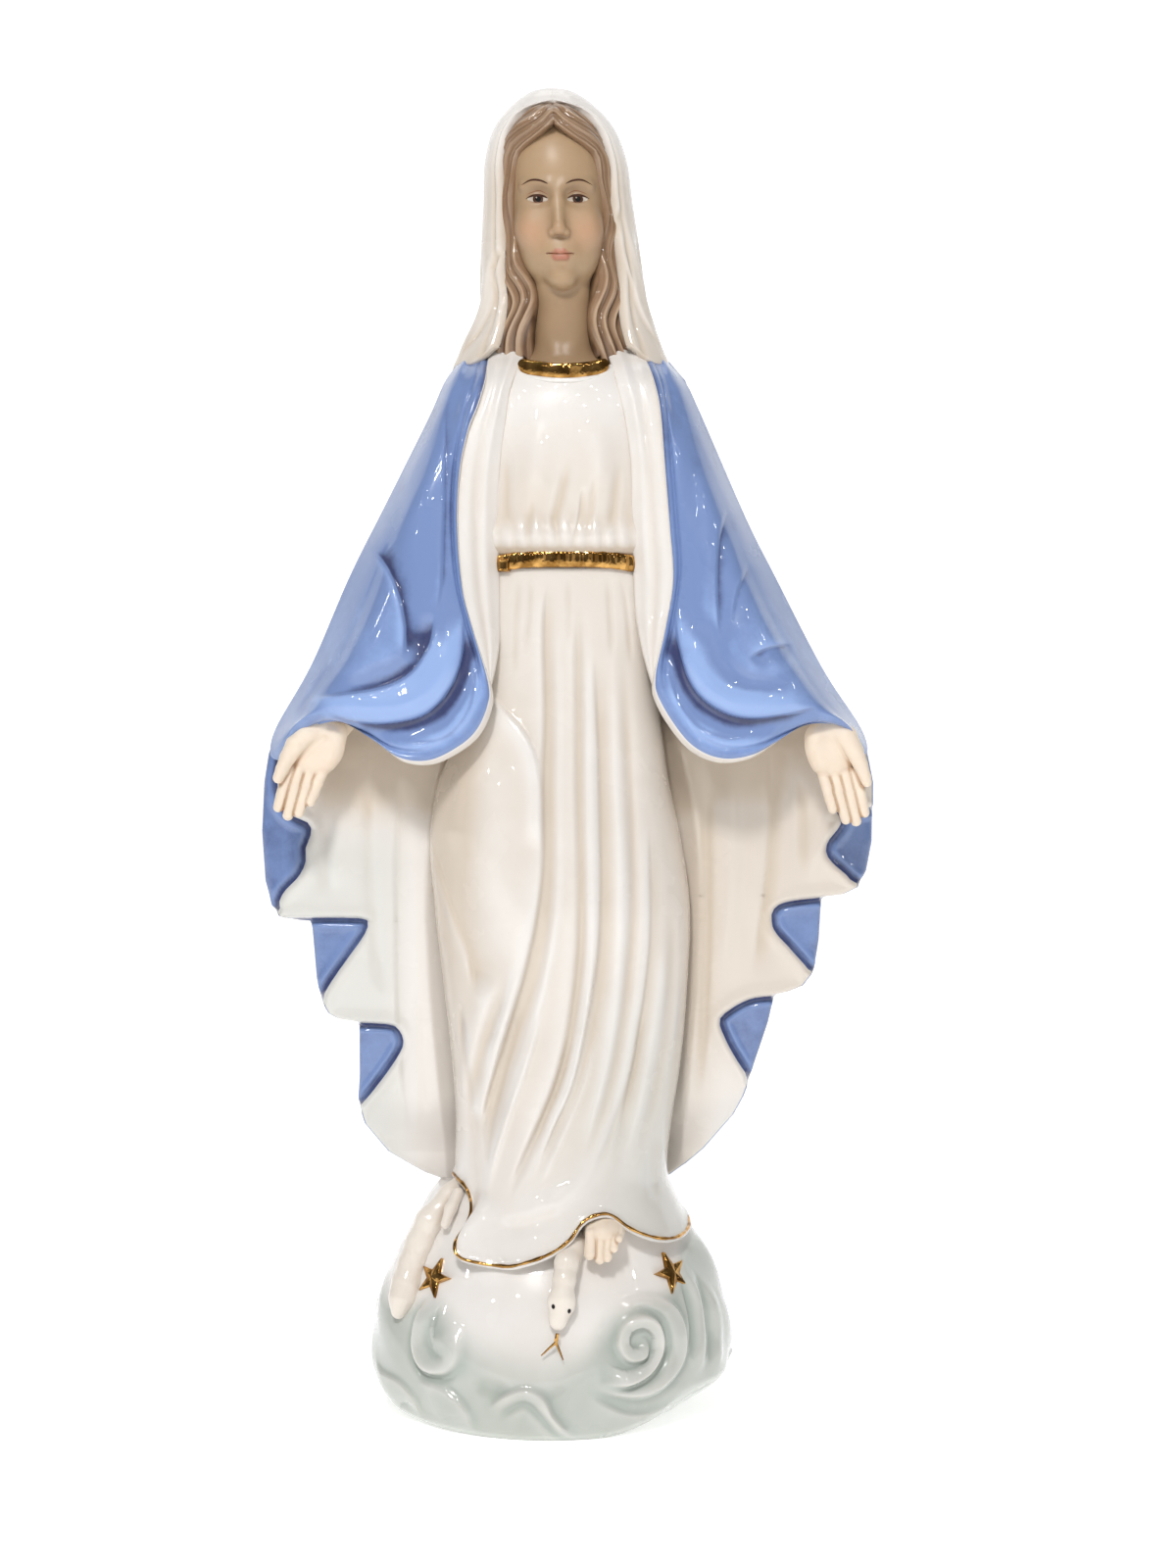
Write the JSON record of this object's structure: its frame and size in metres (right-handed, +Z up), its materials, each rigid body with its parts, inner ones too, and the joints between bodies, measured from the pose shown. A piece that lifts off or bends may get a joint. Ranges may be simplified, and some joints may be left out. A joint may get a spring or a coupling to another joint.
{
  "type": "madonna statue",
  "caption": "Hollow porcelain figure of a veiled woman with lowered open hands, standing on a globe in clouds with a serpent underfoot.",
  "frame": {"origin": "middle of the figure's footprint box, on the plane the base rests on", "axes": "+Z up along the figure, the figure looks along -Y, its own right hand is on -X"},
  "size_m": [0.186, 0.094, 0.4],
  "materials": {
    "white_glaze": "clear gloss glaze over white porcelain",
    "blue_glaze": "gloss periwinkle blue glaze, darker where it pools",
    "celadon_glaze": "gloss grey-green glaze that fades to white",
    "cream_glaze": "thin cream glaze",
    "matt_skin": "unglazed matt porcelain with a soft skin tint",
    "hair_glaze": "light brown wash, half gloss",
    "gilding": "burnished gold lustre",
    "unglazed_clay": "unglazed porcelain biscuit"
  },
  "bodies": {
    "root": {"base_floor": "unglazed_clay", "cloud_base": "celadon_glaze", "globe": "white_glaze", "serpent_tail": "cream_glaze", "serpent_head": "cream_glaze", "serpent_tongue": "gilding", "foot": "matt_skin", "star_right": "gilding", "star_left": "gilding", "gown_skirt": "white_glaze", "gown_bodice": "white_glaze", "girdle": "gilding", "neck_trim": "gilding", "hem_trim": "gilding", "mantle_back": "blue_glaze", "mantle_sleeve_right": "blue_glaze", "mantle_sleeve_left": "blue_glaze", "lapel_right": "white_glaze", "lapel_left": "white_glaze", "veil": "white_glaze", "head": "matt_skin", "hair": "hair_glaze", "hand_right": "matt_skin", "hand_left": "matt_skin"}
  },
  "joints": []
}
